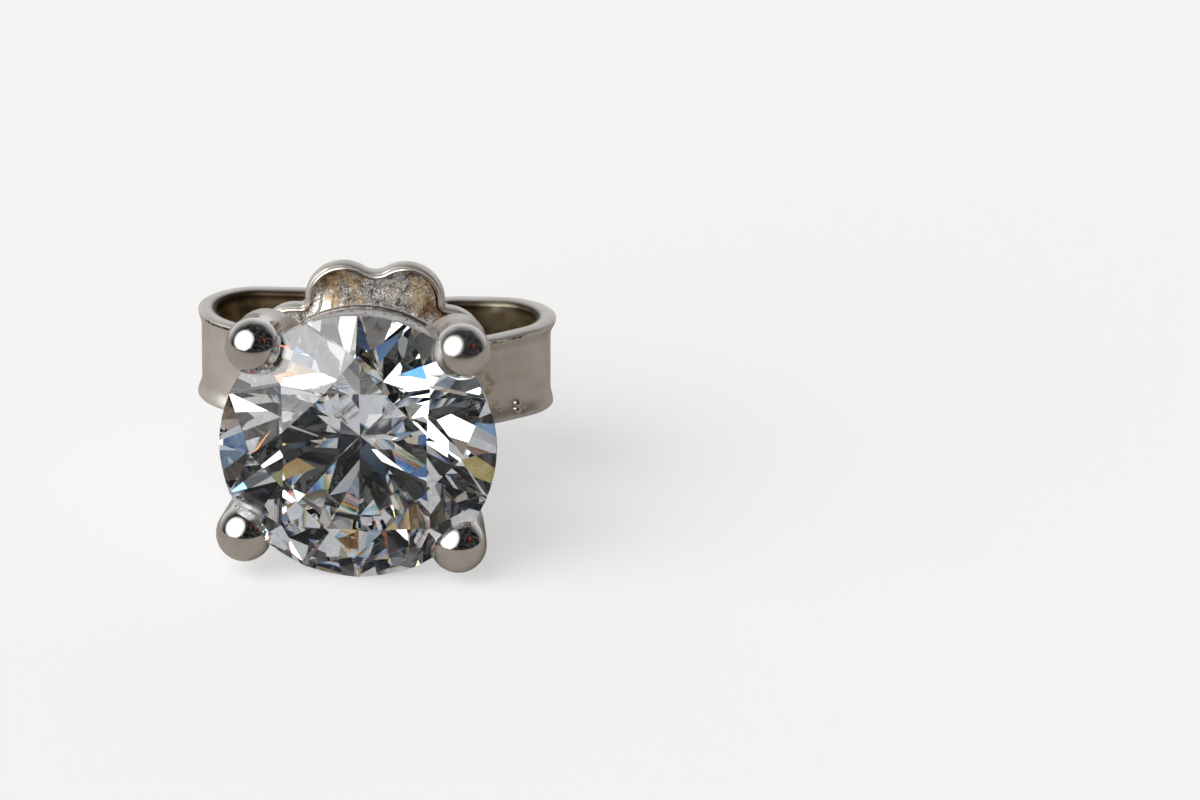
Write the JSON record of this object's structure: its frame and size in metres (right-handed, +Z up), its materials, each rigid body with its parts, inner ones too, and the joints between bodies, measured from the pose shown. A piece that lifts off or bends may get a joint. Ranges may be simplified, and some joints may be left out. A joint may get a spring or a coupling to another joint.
{
  "type": "stud earring",
  "caption": "Stud earring: round brilliant white stone in ball-ended claws, straight post, and a sliding scroll back with a lobed plate.",
  "frame": {"origin": "middle of the bottom of the part's box, on the surface that the stud lies on", "axes": "+Y from the stone to the post's tip, seen from above; the post's axis slopes down by 3 degrees towards its tip, as the stud rests on its stone's edge and its back's lower lobes; +Z up"},
  "size_m": [0.0066, 0.0092, 0.005],
  "materials": {
    "stone": "polished facets",
    "setting_metal": "polished cast silver, rhodium plated",
    "back_metal": "satin silver sheet, tarnished inside the scrolls"
  },
  "bodies": {
    "stud": {"stone": "stone", "claw_setting": "setting_metal"},
    "back": {"butterfly_back": "back_metal"}
  },
  "joints": [
    {"name": "back_slide", "type": "slide", "parent": "stud", "child": "back", "axis": [0, 0.9986, -0.0521], "range_m": [-0.0002, 0.0055]}
  ]
}
